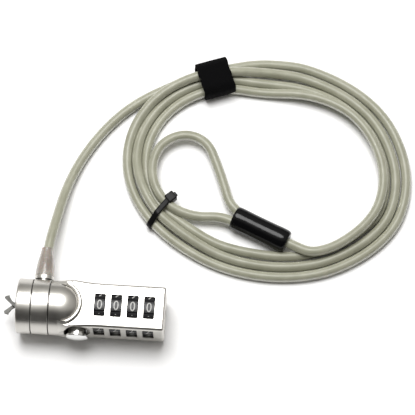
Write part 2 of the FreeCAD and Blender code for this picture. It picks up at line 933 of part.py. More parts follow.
def make_claw(name, side, start):
    """A hooked claw on the pivot pin; side is +1 for the one that spreads to the rear."""
    shape = [
        ("tail_reach", "-0.1 * claw_spread"),
        ("0.5 * tail_reach", "0.3 * claw_spread"),
        ("0", "claw_neck"),
        ("-0.47 * claw_reach", "0.63 * claw_neck"),
        ("-0.59 * claw_reach", "0.39 * claw_spread"),
        ("-0.735 * claw_reach", "0.8 * claw_spread"),
        ("-0.76 * claw_reach", "claw_spread"),
        ("-0.96 * claw_reach", "0.89 * claw_spread"),
        ("-1 * claw_reach", "0.7 * claw_spread"),
        ("-0.63 * claw_reach", "0.07 * claw_spread"),
        ("-0.51 * claw_reach", "-0.4 * claw_neck"),
        ("0", "-1 * claw_neck"),
        ("0.33 * tail_reach", "-1 * claw_neck"),
        ("0.68 * tail_reach", "-0.6 * claw_spread"),
        ("tail_reach", "-0.55 * claw_spread"),
    ]
    plate = prism(
        f"{name}_plate",
        [(x, f"{side} * ({y})") for x, y in shape],
        "claw_thick",
        ("pivot_at", "0", start),
    )
    eye = rod(f"{name}_eye", "pivot_radius + running_gap", "6", ("pivot_at", "0", "head_radius - 3"), "z")
    fall = math.degrees(math.atan2(size("slot_fall"), size("slot_run")))
    slot = block(
        f"{name}_slot", ("sqrt(slot_run ^ 2 + slot_fall ^ 2)", "2 * slot_half", "6"), ("0", "0", "0")
    )
    turn = FreeCAD.Rotation(Z_AXIS, -side * fall)
    offset = turn.multVec(V(0, -size("slot_half"), 0))
    place(
        slot,
        (f"pivot_at + drive_from_pivot + {offset.x:.5f}", f"{offset.y:.5f}", "head_radius - 3"),
        turn,
    )
    ends = [
        rod(
            f"{name}_slot_{end}",
            "slot_half",
            "6",
            (
                f"pivot_at + drive_from_pivot + {k} * slot_run",
                f"{-side * k} * slot_fall",
                "head_radius - 3",
            ),
            "z",
        )
        for end, k in (("start", 0), ("finish", 1))
    ]
    return cut(name, plate, eye, slot, *ends)


def make_helix(name, radius, wire, length, turns, at, turn):
    """A coil spring: a round wire swept along a helix, which the primitives can't give."""
    path = Part.makeHelix(length / turns, length, radius)
    start = path.Edges[0]
    first = start.FirstParameter
    section = Part.makeCircle(wire, start.valueAt(first), start.tangentAt(first))
    obj = doc.addObject("Part::Feature", name)
    obj.Shape = Part.Wire(path).makePipeShell([Part.Wire(section)], True, True)
    obj.Placement = FreeCAD.Placement(at, turn)
    return obj


def make_spindle_spring():
    gap = 0.35
    start = size("land_end") + gap
    length = size("post_end") - gap - start
    axis = V(start, 0, size("head_radius"))
    coil, wire = size("spindle_coil"), size("spindle_wire")
    return make_helix("spindle_spring", coil, wire, length, 6, axis, TURNS["x"])


def make_button_spring():
    gap = 0.3
    start = -size("cup_depth") + gap
    length = -size("seat_depth") - gap - start
    axis = V(size("button_at"), start, size("head_radius"))
    coil, wire = size("button_coil"), size("button_wire")
    return make_helix("button_spring", coil, wire, length, 5, axis, TURNS["y"])


def make_release_button():
    """The domed push button, with the wedge blade that drives the spindle."""
    drum = rod(
        "button_drum",
        "button_radius",
        "button_reach - button_back",
        ("button_at", "-1 * button_reach", "head_radius"),
        "y",
    )
    ball = doc.addObject("Part::Sphere", "button_ball")
    ball.setExpression("Radius", bound("button_dome"))
    place(ball, ("button_at", "button_dome - button_reach", "head_radius"))
    domed = common("button_domed", drum, ball)
    front = -size("button_reach") + 1.5
    smooth = rounded("button_smooth", domed, lambda e: 0.45 if e.BoundBox.YMax < front else 0)
    cup = rod("button_cup", "cup_radius", "10", ("button_at", "-1 * cup_depth", "head_radius"), "y")
    notch = block(
        "stay_notch",
        ("4", "stroke + 2 * stay_radius + 0.2", "20"),
        ("button_at + stay_at - stay_radius - 0.1", "-9 - stroke - stay_radius - 0.1", "head_radius - 10"),
    )
    tip = "(wedge_line + wedge_gap)"
    blade = prism(
        "wedge_blade",
        [
            ("-1 * blade_half_wide", "-1 * cup_depth - 0.5"),
            ("blade_half_wide", "-1 * cup_depth - 0.5"),
            ("blade_half_wide", f"-1 * blade_half_wide - {tip}"),
            ("-1 * blade_half_wide", f"blade_half_wide - {tip}"),
        ],
        "blade_thick",
        ("button_at", "0", "head_radius - blade_thick / 2"),
    )
    return fuse("release_button", cut("button_hollow", smooth, cup, notch), blade)


# ---------------------------------------------------------------- end plate, pins, detent


def make_end_plate():
    plate = block(
        "plate_blank",
        ("plate_thick", "2 * plate_half_wide", "2 * plate_half_high"),
        (PLATE_START, "-1 * plate_half_wide", "head_radius - plate_half_high"),
    )
    hole = rod("code_hole", "code_radius + running_gap", "10", (f"{PLATE_START} - 5", "0", "head_radius"))
    return cut("end_plate", plate, hole, *make_plate_pins("plate_hole", "pin_radius + press_gap", "0.2"))


def make_code_screw():
    """The slotted screw that is turned a quarter to set a new code."""
    head = rod("code_head", "code_radius", "plate_thick - 0.2", (PLATE_START, "0", "head_radius"))
    slot = block(
        "code_screw_slot",
        ("2", "10", "code_slot"),
        ("housing_end - 1", "-5", "head_radius - code_slot / 2"),
    )
    return cut("code_screw", head, slot)


def make_detent_spring():
    """A flat strip in the lower rear corner, with a bump just clear of each wheel."""
    strip = corner_slab(
        "detent_strip",
        "wheel_first - 3",
        "detent_long",
        "detent_wide",
        "detent_thick",
        "detent_line",
    )
    reach = "(wheel_radius + running_gap + detent_bump) * sqrt(0.5)"
    bumps = []
    for dial in DIALS:
        bump = doc.addObject("Part::Sphere", f"detent_bump_{dial}")
        bump.setExpression("Radius", bound("detent_bump"))
        place(bump, (wheel_centre(dial), reach, f"head_radius - {reach}"))
        bumps.append(bump)
    return fuse("detent_spring", strip, *bumps)


# ---------------------------------------------------------------- cable


def cord_tube(name, route):
    """A round tube along straight runs joined by tangent arcs, each as large as its runs allow."""
    points = [V(*point) for point in route]
    edges = []
    radii = []
    last = points[0]
    length = 0.0
    for before, corner, after in zip(points, points[1:], points[2:]):
        back = (before - corner).normalize()
        ahead = (after - corner).normalize()
        half_turn = (math.pi - back.getAngle(ahead)) / 2
        setback = 0.45 * min((before - corner).Length, (after - corner).Length)
        radius = setback / math.tan(half_turn)
        start = corner + back * setback
        finish = corner + ahead * setback
        inward = (back + ahead).normalize()
        top = corner + inward * (radius / math.cos(half_turn) - radius)
        edges.append(Part.LineSegment(last, start).toShape())
        edges.append(Part.Arc(start, top, finish).toShape())
        length += (start - last).Length + radius * 2 * half_turn
        radii.append(round(radius, 1))
        last = finish
    edges.append(Part.LineSegment(last, points[-1]).toShape())
    length += (points[-1] - last).Length
    radius = size("cable_radius")
    section = Part.Wire(Part.makeCircle(radius, points[0], points[1] - points[0]))
    tube = Part.Wire(edges).makePipeShell([section], True, False)
    expected = math.pi * radius**2 * length
    print(f"{name}: length {length:.1f} mm, radii {radii} mm, volume ratio {tube.Volume / expected:.4f}")
    obj = doc.addObject("Part::Feature", name)
    obj.Shape = tube
    return obj


def coil_radius(angle):
    """The coil's middle line, as a distance from its centre: an oval with a slight lean and egg."""
    return (
        size("coil_mean")
        + size("coil_oval") * math.cos(2 * angle)
        + size("coil_lean") * math.sin(2 * angle)
        + size("coil_egg") * math.cos(3 * angle)
        + size("coil_egg_lean") * math.sin(3 * angle)
    )


def coil_point(angle, offset=0.0, height=0.0):
    """A point beside the coil's middle line, offset outwards along its normal."""
    step = 0.001
    here = V(math.cos(angle), math.sin(angle), 0) * coil_radius(angle)
    there = V(math.cos(angle + step), math.sin(angle + step), 0) * coil_radius(angle + step)
    along = (there - here).normalize()
    outward = V(along.y, -along.x, 0)
    return V(size("coil_x"), size("coil_y"), height) + here + outward * offset


def coil_turn(angle):
    """The turn about Z that puts +X outwards across the bundle at an angle."""
    across = coil_point(angle, 1.0) - coil_point(angle)
    return FreeCAD.Rotation(Z_AXIS, math.degrees(math.atan2(across.y, across.x)))


def coil_outline(offset):
    count = 36
    curve = Part.BSplineCurve()
    curve.interpolate([coil_point(math.tau * k / count, offset) for k in range(count)], PeriodicFlag=True)
    return Part.Wire(curve.toShape())


def bundle_hole(inner, outer, low, high, long, corner):
    """A bar with rounded long edges, across the bundle from inner to outer and from low to high."""
    bar = Part.makeBox(outer - inner, long, high - low, V(inner, -long / 2, low))
    return bar.makeFillet(corner, [e for e in bar.Edges if abs(e.tangentAt(0).y) > 0.9])


def bundle_ring(name, band, angle):
    """A band round the bundle, resting on the floor; its sizes begin with the band's name."""
    inner = -size(f"{band}_inside")
    outer = size(f"{band}_outside")
    high = size(f"{band}_high")
    thick = size(f"{band}_thick")
    long = size(f"{band}_long")
    corner = size(f"{band}_corner")
    blank = bundle_hole(inner - thick, outer + thick, 0, high + thick, long, corner + thick)
    obj = doc.addObject("Part::Feature", name)
    obj.Shape = blank.cut(bundle_hole(inner, outer, thick, high, long + 2, corner))
    obj.Placement = FreeCAD.Placement(coil_point(angle), coil_turn(angle))
    return obj


def make_cable_strap():
    """The hook-and-loop strap round all four strands."""
    return bundle_ring("cable_strap", "strap", math.radians(size("strap_angle")))


def make_cable_tie():
    """The cable tie round three strands and the loop, with its head on the inner side."""
    angle = math.radians(size("tie_angle"))
    band = bundle_ring("tie_band", "tie", angle)
    head = block("tie_head_block", ("tie_head", "tie_head", "tie_head"), ("0", "0", "0"))
    inner_wall = -size("tie_inside") - size("tie_thick") / 2
    corner = V(inner_wall - size("tie_head"), -size("tie_head") / 2, 0)
    at = coil_point(angle) + coil_turn(angle).multVec(corner)
    place(head, (f"{at.x:.4f}", f"{at.y:.4f}", "tie_thick + tie_head_rise"), coil_turn(angle))
    return fuse("cable_tie", band, head)


def make_cable_coil(strap, tie, ferrule_room):
    """The outer shape of the coil: an oval ring, two strands high except on its left side."""
    outlines = [coil_outline(size("coil_outside")), coil_outline(-size("coil_inside"))]
    ring_shape = Part.makeFace(outlines, "Part::FaceMakerBullseye").extrude(V(0, 0, size("coil_high")))
    left = size("coil_x") - 2 * size("coil_mean")
    above = V(left, 0, size("coil_low"))
    low_side = Part.makeBox(size("coil_low_until") - left, 4 * size("coil_mean"), size("coil_high"), above)
    shape = ring_shape.cut([low_side.cut(strap_room(strap)), strap.Shape, tie.Shape, ferrule_room])
    obj = doc.addObject("Part::Feature", "cable_coil")
    obj.Shape = max(shape.Solids, key=lambda s: s.Volume)
    return obj


def strap_room(strap):
    """The upright space round the strap, where the coil keeps its full height."""
    box = strap.Shape.BoundBox
    return Part.makeBox(box.XLength, box.YLength, 30, V(box.XMin, box.YMin, 0))


def ferrule_place(along):
    """A point on the ferrule's axis, and its turn so that the axis runs along the body's Y."""
    turn = FreeCAD.Rotation(Z_AXIS, size("ferrule_turn"))
    centre = V(size("ferrule_x"), size("ferrule_y"), size("ferrule_radius"))
    return centre + turn.multVec(V(along, 0, 0)), turn


def make_ferrule_room():
    """The room that the coil's solid leaves for the ferrule."""
    start, turn = ferrule_place(-size("ferrule_length") / 2 - 1)
    axis = turn.multVec(X_AXIS)
    return Part.makeCylinder(size("ferrule_radius") + 0.3, size("ferrule_length") + 2, start, axis)


def along_ferrule(name, radius, length, along, across=0.0):
    """A bar along the ferrule's axis."""
    start, turn = ferrule_place(along)
    start = start + turn.multVec(V(0, across, 0))
    obj = rod(name, radius, length, (f"{start.x:.5f}", f"{start.y:.5f}", "ferrule_radius"))
    obj.Placement = FreeCAD.Placement(obj.Placement.Base, turn * TURNS["x"])
    return obj


def make_ferrule_cover():
    """The glossy sleeve over the crimp, open for two legs at one end and one strand at the other."""
    half = size("ferrule_length") / 2
    drum = along_ferrule("ferrule_drum", "ferrule_radius", "ferrule_length", -half)
    smooth = rounded("ferrule_smooth", drum, lambda e: 1.1 if e.Closed else 0)
    wide = along_ferrule(
        "ferrule_wide_bore",
        "ferrule_radius - ferrule_wall",
        "ferrule_length / 2 + crimp_length / 2 + 1",
        -half - 1,
    )
    narrow = along_ferrule("ferrule_narrow_bore", "cable_radius + 0.1", "ferrule_length + 2", -half - 1)
    return cut("ferrule_cover", smooth, wide, narrow)


def make_ferrule_crimp():
    """The oval aluminium crimp that clamps the cable to itself."""
    half = size("crimp_length") / 2
    side = size("crimp_half")
    bars = [
        along_ferrule(f"crimp_bar_{n}", "crimp_radius", "crimp_length", -half, sign * side)
        for n, sign in ((1, 1), (2, -1))
    ]
    return fuse("ferrule_crimp", *bars)


def build():
    limit = make_head_limit()
    body_block = make_body_block(limit)
    recess = make_recess()
    pockets = make_wheel_pockets()
    zone = make_cover_zone()
    nodes = [
        make_nose_cap(),
        make_swivel_post(),
        make_thrust_washers(),
        make_swivel_collar(),
        make_cable_end_stop(),
        make_cable_sleeve(),
        make_housing(body_block, limit, zone, make_groove(), recess, pockets),
        make_top_cover(body_block, zone, recess, pockets),
        group("cover_pins", *make_cover_pins("cover_pin", "pin_radius", "0")),
        make_end_plate(),
        group("end_plate_pins", *make_plate_pins("plate_pin", "pin_radius", "0")),
        make_code_screw(),
        make_detent_spring(),
        make_spindle(),
        make_spindle_spring(),
        make_drive_pin(),
        make_claw("claw_rear", 1, "head_radius + 0.05"),
        make_claw("claw_front", -1, "head_radius - 0.05 - claw_thick"),
        make_claw_pin(),
        make_release_button(),
        make_button_spring(),
        make_stay_pin("button_stay_pin", "stay_radius", "0"),
    ]
    for dial in DIALS:
        nodes.append(make_dial_wheel(dial))
        nodes.append(make_clutch_sleeve(dial))
    strap = make_cable_strap()
    tie = make_cable_tie()
    doc.recompute()
    nodes += [
        strap,
        tie,
        make_cable_coil(strap, tie, make_ferrule_room()),
        cord_tube("cable_lead", LEAD_ROUTE),
        cord_tube("cable_tail", TAIL_ROUTE),
        cord_tube("cable_loop", LOOP_ROUTE),
        make_ferrule_cover(),
        make_ferrule_crimp(),
    ]
    doc.recompute()
    return nodes


def check(nodes):
    """Stop before anything is written if a step or a piece has failed."""
    for obj in doc.Objects:
        if {"Invalid", "Error"} & set(obj.State):
            raise RuntimeError(f"{obj.Label} failed: {obj.State}")
    for node in nodes:
        shape = node.Shape
        if shape.isNull() or not shape.isValid() or not shape.Solids:
            raise RuntimeError(f"{node.Label} has no valid solid")


def export(nodes):
    os.makedirs("parts", exist_ok=True)
    for node in nodes:
        node.Shape.exportStep(f"parts/{node.Label}.step")
    print(f"{len(nodes)} nodes written")


pieces = build()
check(pieces)
export(pieces)
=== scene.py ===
"""Laptop cable lock: the looks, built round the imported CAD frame. Metres, in the CAD's own frame."""

import math

import bpy
from mathutils import Matrix, Vector


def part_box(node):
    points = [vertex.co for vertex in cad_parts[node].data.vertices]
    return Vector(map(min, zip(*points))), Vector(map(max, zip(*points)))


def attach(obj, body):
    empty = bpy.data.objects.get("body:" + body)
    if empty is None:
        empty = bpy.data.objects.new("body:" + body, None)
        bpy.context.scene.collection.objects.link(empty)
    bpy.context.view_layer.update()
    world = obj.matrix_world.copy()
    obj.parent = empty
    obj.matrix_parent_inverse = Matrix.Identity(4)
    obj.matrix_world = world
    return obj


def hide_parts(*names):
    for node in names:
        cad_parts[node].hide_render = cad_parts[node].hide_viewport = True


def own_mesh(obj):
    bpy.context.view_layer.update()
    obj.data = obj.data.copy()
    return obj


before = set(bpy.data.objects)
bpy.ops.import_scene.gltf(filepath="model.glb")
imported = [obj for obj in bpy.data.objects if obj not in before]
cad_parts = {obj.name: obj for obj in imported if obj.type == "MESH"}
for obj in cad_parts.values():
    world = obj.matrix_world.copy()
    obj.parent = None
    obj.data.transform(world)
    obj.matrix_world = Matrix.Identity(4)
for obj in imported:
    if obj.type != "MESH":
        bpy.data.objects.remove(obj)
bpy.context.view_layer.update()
MM = 0.001

HEAD_LOW, HEAD_HIGH = (Vector(corner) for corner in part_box("nose_cap"))
AXIS_HEIGHT = (HEAD_LOW.z + HEAD_HIGH.z) / 2
SLEEVE_LOW, SLEEVE_HIGH = (Vector(corner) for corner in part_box("cable_sleeve"))
CABLE_X = (SLEEVE_LOW.x + SLEEVE_HIGH.x) / 2

# The camera looks down at this point on the floor, from this far.
CAMERA_AIM = Vector((0.0503, 0.0530, 0.006))
CAMERA_DISTANCE = 0.8975
CAMERA_ELEVATION = math.radians(70)
CAMERA_YAW = math.radians(3.7)
CAMERA_LENS = 173.9
# The room is bright on the side this direction points to: away from the camera and up.
BRIGHT_SIDE = Vector((0, 0.883, 0.469))

CABLE_RADIUS = 2.2 * MM
JACKET_STEP = 1.6 * MM
JACKET_SIDES = 24

# The steel rope inside the jacket; the relief is how deep its strands' grooves are, as a share of it.
ROPE_RADIUS = 1.55 * MM
ROPE_PITCH = 13 * MM
ROPE_STRANDS = 7
WIRES_PER_STRAND = 6
STRAND_RELIEF = 0.14
ROPE_STEP = 0.9 * MM
ROPE_SIDES = 42

DIALS = (1, 2, 3, 4)
DIGIT_HEIGHT = 4.6 * MM
FONT_SIZE = 1.35 * DIGIT_HEIGHT
DIGIT_NARROWING = 0.82
HALF_PAINT = 0.05 * MM
PAINT_LIFT = 0.02 * MM

# The cable's route in millimetres, as the CAD has it: out of the collar and up to the coil.
LEAD_ROUTE = [
    (-18.8, 9.8, 12.0),
    (-18.8, 26.0, 12.0),
    (-16.4, 42.0, 8.8),
    (-13.6, 59.3, 4.4),
    (-7.4, 75.8, 2.6),
    (2.6, 91.2, 2.4),
    (14.6, 103.2, 2.4),
    (29.4, 111.8, 2.8),
    (42.5, 118.4, 3.4),
]
# Out of the coil's inner turn and into the ferrule.
TAIL_ROUTE = [
    (104.9, 36.6, 6.6),
    (97.2, 34.4, 6.8),
    (89.3, 37.85, 5.5),
    (81.94, 41.02, 5.35),
]
# Out of the ferrule's other end, through the tie, round, and back into the ferrule.
LOOP_ROUTE = [
    (66.37, 45.31, 5.35),
    (56.6, 49.5, 5.2),
    (45.2, 48.6, 4.3),
    (33.6, 52.2, 5.2),
    (26.3, 60.0, 6.6),
    (23.6, 71.6, 5.5),
    (27.0, 82.6, 5.4),
    (37.4, 88.6, 5.1),
    (48.2, 85.2, 5.0),
    (53.4, 74.0, 5.0),
    (57.4, 63.4, 5.1),
    (60.8, 53.6, 5.3),
    (68.15, 49.44, 5.35),
]
# The coil, turn by turn: degrees travelled clockwise from the strap, distance outwards from the
# bundle's middle line, and height, in millimetres.
COIL_TURNS = [
    [
        (0, 4.4, 3.4), (12, 5.4, 2.6), (25, 7.1, 2.2), (47, 7.4, 2.2), (57, 6.2, 2.2),
        (77, 4.6, 2.2), (108, 4.8, 2.2), (124, 6.1, 2.2), (142, 7.6, 2.2), (165, 5.6, 2.2),
        (196, 5.7, 2.2), (212, 6.4, 2.2), (234, 6.9, 2.2), (258, 5.4, 2.7), (276, 5.3, 3.2),
        (290, 5.2, 2.4), (302, 5.3, 2.2), (316, 5.1, 2.9), (330, 4.3, 4.9), (345, 3.1, 6.5),
    ],
    [
        (0, 2.2, 7.4), (12, 1.6, 6.6), (25, 2.0, 4.6), (48, 2.2, 2.9), (57, 1.0, 3.0),
        (80, -0.2, 2.4), (107, -0.3, 2.4), (124, 1.2, 2.3), (142, 3.0, 2.3), (165, 0.8, 2.3),
        (196, 1.0, 2.3), (212, 1.6, 2.3), (235, 2.2, 2.6), (258, 0.4, 4.6), (276, 1.2, 6.1),
        (289, 0.6, 5.9), (302, 0.9, 3.5), (318, 0.6, 2.4), (340, 0.2, 2.8),
    ],
    [
        (0, -0.1, 3.4), (12, -1.2, 2.7), (26, -2.9, 2.3), (50, -3.2, 2.3), (84, -5.0, 2.3),
        (105, -5.0, 2.3), (125, -3.4, 2.3), (145, -1.6, 2.3), (160, -4.3, 2.2), (182, -4.4, 2.2),
        (190, -4.1, 2.2), (213, -3.6, 2.3), (238, -2.5, 2.3), (258, -3.7, 2.3), (265, -3.9, 2.3),
        (276, -1.9, 3.0), (289, -2.5, 2.3), (302, -3.4, 2.2), (319, -4.1, 2.3), (345, -4.4, 2.8),
    ],
    [
        (0, -4.6, 3.4), (12, -5.8, 2.8), (26, -7.5, 2.3), (38, -7.5, 3.2), (50, -7.0, 5.0),
        (84, -6.6, 6.5), (105, -6.6, 6.5), (124, -4.7, 6.6), (142, -3.0, 6.6), (152, -3.2, 6.7),
        (165, -3.4, 6.7), (175, -3.3, 6.6),
    ],
]
COIL_CENTRE = Vector((76, 75, 0))
# The middle line's radius round that centre: its mean, and how oval, leaning and egg-shaped it is.
COIL_MEAN = 51.1
COIL_OVAL, COIL_LEAN = 6.7, -1.4
COIL_EGG, COIL_EGG_LEAN = -0.75, 0.6
STRAP_ANGLE = math.radians(122.4)
STRAP_TURN = math.radians(5)
# How far apart a band's cross-sections are in its UV map, and on the strap itself.
BAND_STEP = 0.6
# The inside of the strap round the bundle, as (inner, outer, low, high), and the tape's own sizes.
STRAP_INSIDE = (-7.3, 7.3, 1.2, 9.9)
STRAP_CORNER = 3.2
STRAP_HALF_WIDTH = 7.3
STRAP_THICKNESS = 1.1
TIE_ANGLE = math.radians(206.3)
# The strands the tie holds, as (outwards, height), and how far it leans along them per step outwards.
TIE_STRANDS = [(5.3, 3.2), (1.2, 6.1), (-1.9, 3.0), (-4.9, 5.6)]
TIE_SLANT = 0.25
TIE_STEP = 0.5
TIE_REACH = 2.22
TIE_HALF_WIDTH = 1.3
TIE_THICKNESS = 0.7
TIE_HEAD_OUTWARDS, TIE_HEAD_HEIGHT = -7.6, 6.8
TIE_HEAD_HALVES = (2.2, 2.1, 2.1)
TIE_TAIL_HALVES = (0.8, 1.1, 0.5)
TIE_TAIL_INWARDS = 2.4
COIL_STEP = 12
COIL_FIRST, COIL_LAST = 12, 1080 + 168

FERRULE_CENTRE = Vector((74.6, 44.2, 5.35)) * MM
FERRULE_TURN = math.radians(-23.4)
FERRULE_LENGTH = 26.5 * MM


# ---------------------------------------------------------------- meshes


def new_object(name, vertices, faces, material, smooth=True):
    mesh = bpy.data.meshes.new(name)
    mesh.from_pydata([tuple(v) for v in vertices], [], faces)
    mesh.update()
    if smooth:
        mesh.polygons.foreach_set("use_smooth", [True] * len(mesh.polygons))
    piece = bpy.data.objects.new(name, mesh)
    bpy.context.scene.collection.objects.link(piece)
    mesh.materials.append(material)
    return piece


def closed_tube(name, rings, material):
    """A closed skin over rings of points, with flat ends and a UV map: U along in metres, V round."""
    count = len(rings[0])
    vertices = [point for ring in rings for point in ring]
    faces = []
    uvs = []
    along = 0.0
    for r in range(len(rings) - 1):
        middle_here = sum(rings[r], Vector()) / count
        middle_next = sum(rings[r + 1], Vector()) / count
        ahead = along + (middle_next - middle_here).length
        for k in range(count):
            n = (k + 1) % count
            faces.append((r * count + k, r * count + n, (r + 1) * count + n, (r + 1) * count + k))
            low, high = k / count, (k + 1) / count
            uvs += [(along, low), (along, high), (ahead, high), (ahead, low)]
        along = ahead
    last = (len(rings) - 1) * count
    faces.append(tuple(reversed(range(count))))
    uvs += [(0.0, 0.5)] * count
    faces.append(tuple(last + k for k in range(count)))
    uvs += [(along, 0.5)] * count
    piece = new_object(name, vertices, faces, material)
    layer = piece.data.uv_layers.new(name="UVMap")
    layer.data.foreach_set("uv", [value for uv in uvs for value in uv])
    piece.data.polygons[-1].use_smooth = False
    piece.data.polygons[-2].use_smooth = False
    return piece


def swept(name, path, material, radius_at, sides):
    """A tube along a path; radius_at(distance, angle) gives its outline."""
    rings = []
    distance = 0.0
    for i, point in enumerate(path):
        before = path[max(i - 1, 0)]
        after = path[min(i + 1, len(path) - 1)]
        tangent = (after - before).normalized()
        side = tangent.cross(Vector((0, 0, 1))).normalized()
        up = side.cross(tangent)
        if i:
            distance += (point - path[i - 1]).length
        ring = []
        for k in range(sides):
            angle = math.tau * k / sides
            reach = radius_at(distance, angle)
            ring.append(point + side * math.cos(angle) * reach + up * math.sin(angle) * reach)
        rings.append(ring)
    return closed_tube(name, rings, material)


def turned(name, profile, origin, axis, material, sides=64):
    """A lathe piece: profile is (distance along, radius), open profiles are closed by the caller."""
    axis = axis.normalized()
    side = axis.cross(Vector((0, 0, 1))).normalized()
    up = side.cross(axis)
    rings = []
    for along, radius in profile:
        centre = origin + axis * along
        rings.append([
            centre + (side * math.cos(math.tau * k / sides) + up * math.sin(math.tau * k / sides)) * radius
            for k in range(sides)
        ])
    return closed_tube(name, rings, material)


def resampled(points, spacing):
    """The same line with evenly spaced points."""
    out = [points[0]]
    left = spacing
    for start, end in zip(points, points[1:]):
        run = (end - start).length
        while left < run:
            start = start + (end - start) * (left / run)
            out.append(start)
            run = (end - start).length
            left = spacing
        left -= run
    out.append(points[-1])
    return out


def catmull_rom(before, start, end, after, t):
    """The value a share t of the way from start to end, on a smooth line through all four."""
    square = (2 * before - 5 * start + 4 * end - after) * t * t
    cube = (3 * start - before - 3 * end + after) * t**3
    return 0.5 * (2 * start + (end - before) * t + square + cube)


def smooth_steps(knots, count):
    """A rounded profile through a few knots, by Catmull-Rom steps."""
    out = []
    padded = [knots[0]] + list(knots) + [knots[-1]]
    for a, b, c, d in zip(padded, padded[1:], padded[2:], padded[3:]):
        for k in range(count):
            t = k / count
            out.append(tuple(catmull_rom(*values, t) for values in zip(a, b, c, d)))
    out.append(tuple(knots[-1]))
    return out


# ---------------------------------------------------------------- node materials


class Shader:
    """A short way to write a node material."""

    def __init__(self, name):
        self.material = bpy.data.materials.new(name)
        self.material.use_nodes = True
        self.tree = self.material.node_tree
        self.principled = self.tree.nodes["Principled BSDF"]

    def node(self, kind, inputs=(), **settings):
        made = self.tree.nodes.new(kind)
        for key, value in settings.items():
            setattr(made, key, value)
        for key, value in dict(inputs).items():
            self.feed(made.inputs[key], value)
        return made

    def feed(self, socket, value):
        if isinstance(value, bpy.types.NodeSocket):
            self.tree.links.new(value, socket)
        else:
            socket.default_value = value

    def set(self, **values):
        for key, value in values.items():
            self.feed(self.principled.inputs[key.replace("_", " ")], value)

    def coordinates(self, kind="Object"):
        return self.node("ShaderNodeTexCoord").outputs[kind]

    def scaled(self, vector, scale):
        return self.node("ShaderNodeMapping", {"Vector": vector, "Scale": scale}).outputs[0]

    def noise(self, vector, scale, detail=4.0, rough=0.55):
        inputs = {"Vector": vector, "Scale": scale, "Detail": detail, "Roughness": rough}
        return self.node("ShaderNodeTexNoise", inputs).outputs["Fac"]

    def ramp(self, factor, *stops):
        made = self.node("ShaderNodeValToRGB", {"Fac": factor})
        elements = made.color_ramp.elements
        while len(elements) < len(stops):
            elements.new(0.5)
        for element, (place, colour) in zip(elements, stops):
            element.position = place
            element.color = colour if isinstance(colour, tuple) else (colour, colour, colour, 1)
        return made.outputs["Color"]

    def maths(self, operation, a, b=0.0):
        made = self.node("ShaderNodeMath", operation=operation)
        self.feed(made.inputs[0], a)
        self.feed(made.inputs[1], b)
        return made.outputs[0]

    def mixed(self, factor, a, b):
        made = self.node("ShaderNodeMix", data_type="RGBA")
        self.feed(made.inputs["Factor"], factor)
        self.feed(made.inputs[6], a)
        self.feed(made.inputs[7], b)
        return made.outputs[2]

    def bump(self, height, distance):
        inputs = {"Height": height, "Distance": distance, "Strength": 1.0}
        return self.node("ShaderNodeBump", inputs).outputs[0]


def metal(name, colour, rough_low, rough_high, wear=0.5, grain=0.4):
    """Plated or bare metal: patchy polish, cast grain, scratches and worn edges, with painted shade
    darkening its seams.
    """
    s = Shader(name)
    place = s.coordinates()
    patches = s.noise(place, 90, 5)
    fine = s.noise(place, 2600, 3)
    scratches = s.noise(s.scaled(place, (200, 2600, 2600)), 1, 2)
    edges = s.ramp(s.node("ShaderNodeNewGeometry").outputs["Pointiness"], (0.5, 0.0), (0.56, 1.0))
    worn = s.maths("MULTIPLY", edges, s.maths("MULTIPLY", s.noise(place, 420, 4), 2 * wear))
    tone = s.ramp(patches, (0.35, tuple(c * 0.94 for c in colour) + (1,)), (0.65, tuple(colour) + (1,)))
    pale = tuple(min(1.0, c * 1.12) for c in colour) + (1,)
    spread = s.ramp(patches, (0.3, rough_low), (0.7, rough_high))
    rough = s.maths("ADD", spread, s.maths("MULTIPLY", worn, 0.12))
    relief = s.maths("ADD", s.maths("MULTIPLY", fine, 0.5), s.maths("MULTIPLY", scratches, grain))
    # Painted shade: ambient occlusion darkens the colour towards near-black in seams, grooves and recesses.
    seam_occlusion = s.node("ShaderNodeAmbientOcclusion", {"Distance": 0.0016}, samples=8).outputs["AO"]
    painted_seam_shade = s.ramp(seam_occlusion, (0.35, 0.10), (0.85, 1.0))
    s.set(Base_Color=s.mixed(painted_seam_shade, (0.05, 0.045, 0.04, 1), s.mixed(worn, tone, pale)))
    s.set(Roughness=rough, Metallic=1.0)
    s.set(Normal=s.bump(relief, 0.00001))
    return s.material


def hard_plastic(name, colour, rough_low, rough_high, grain_scale=1500, depth=0.00002, shine=0.5):
    """Moulded plastic with a fine texture, uneven gloss and paler scuffed edges."""
    s = Shader(name)
    place = s.coordinates()
    patches = s.noise(place, 160, 5)
    grain = s.noise(place, grain_scale, 4)
    edges = s.ramp(s.node("ShaderNodeNewGeometry").outputs["Pointiness"], (0.52, 0.0), (0.6, 1.0))
    scuffs = s.maths("MULTIPLY", edges, s.noise(place, 700, 3))
    dark = tuple(colour) + (1,)
    pale = tuple(min(1.0, c * 2.0 + 0.012) for c in colour) + (1,)
    s.set(Base_Color=s.mixed(scuffs, dark, pale))
    s.set(Roughness=s.ramp(patches, (0.3, rough_low), (0.7, rough_high)))
    s.set(Normal=s.bump(grain, depth), Specular_IOR_Level=shine)
    return s.material


def jacket_vinyl():
    """The cable's jacket: clear vinyl with a milky khaki tint, a soft skin and handling marks."""
    s = Shader("jacket_vinyl")
    place = s.coordinates()
    haze = s.noise(place, 140, 4)
    waves = s.noise(s.scaled(s.coordinates("UV"), (260, 1, 1)), 1, 3)
    marks = s.noise(place, 900, 4)
    tint = s.ramp(haze, (0.35, (0.34, 0.34, 0.255, 1)), (0.65, (0.40, 0.40, 0.31, 1)))
    s.set(Base_Color=tint, Roughness=s.ramp(marks, (0.35, 0.30), (0.7, 0.42)), IOR=1.45)
    relief = s.maths("ADD", waves, s.maths("MULTIPLY", marks, 0.2))
    s.set(Transmission_Weight=0.20, Normal=s.bump(relief, 0.00005))
    return s.material


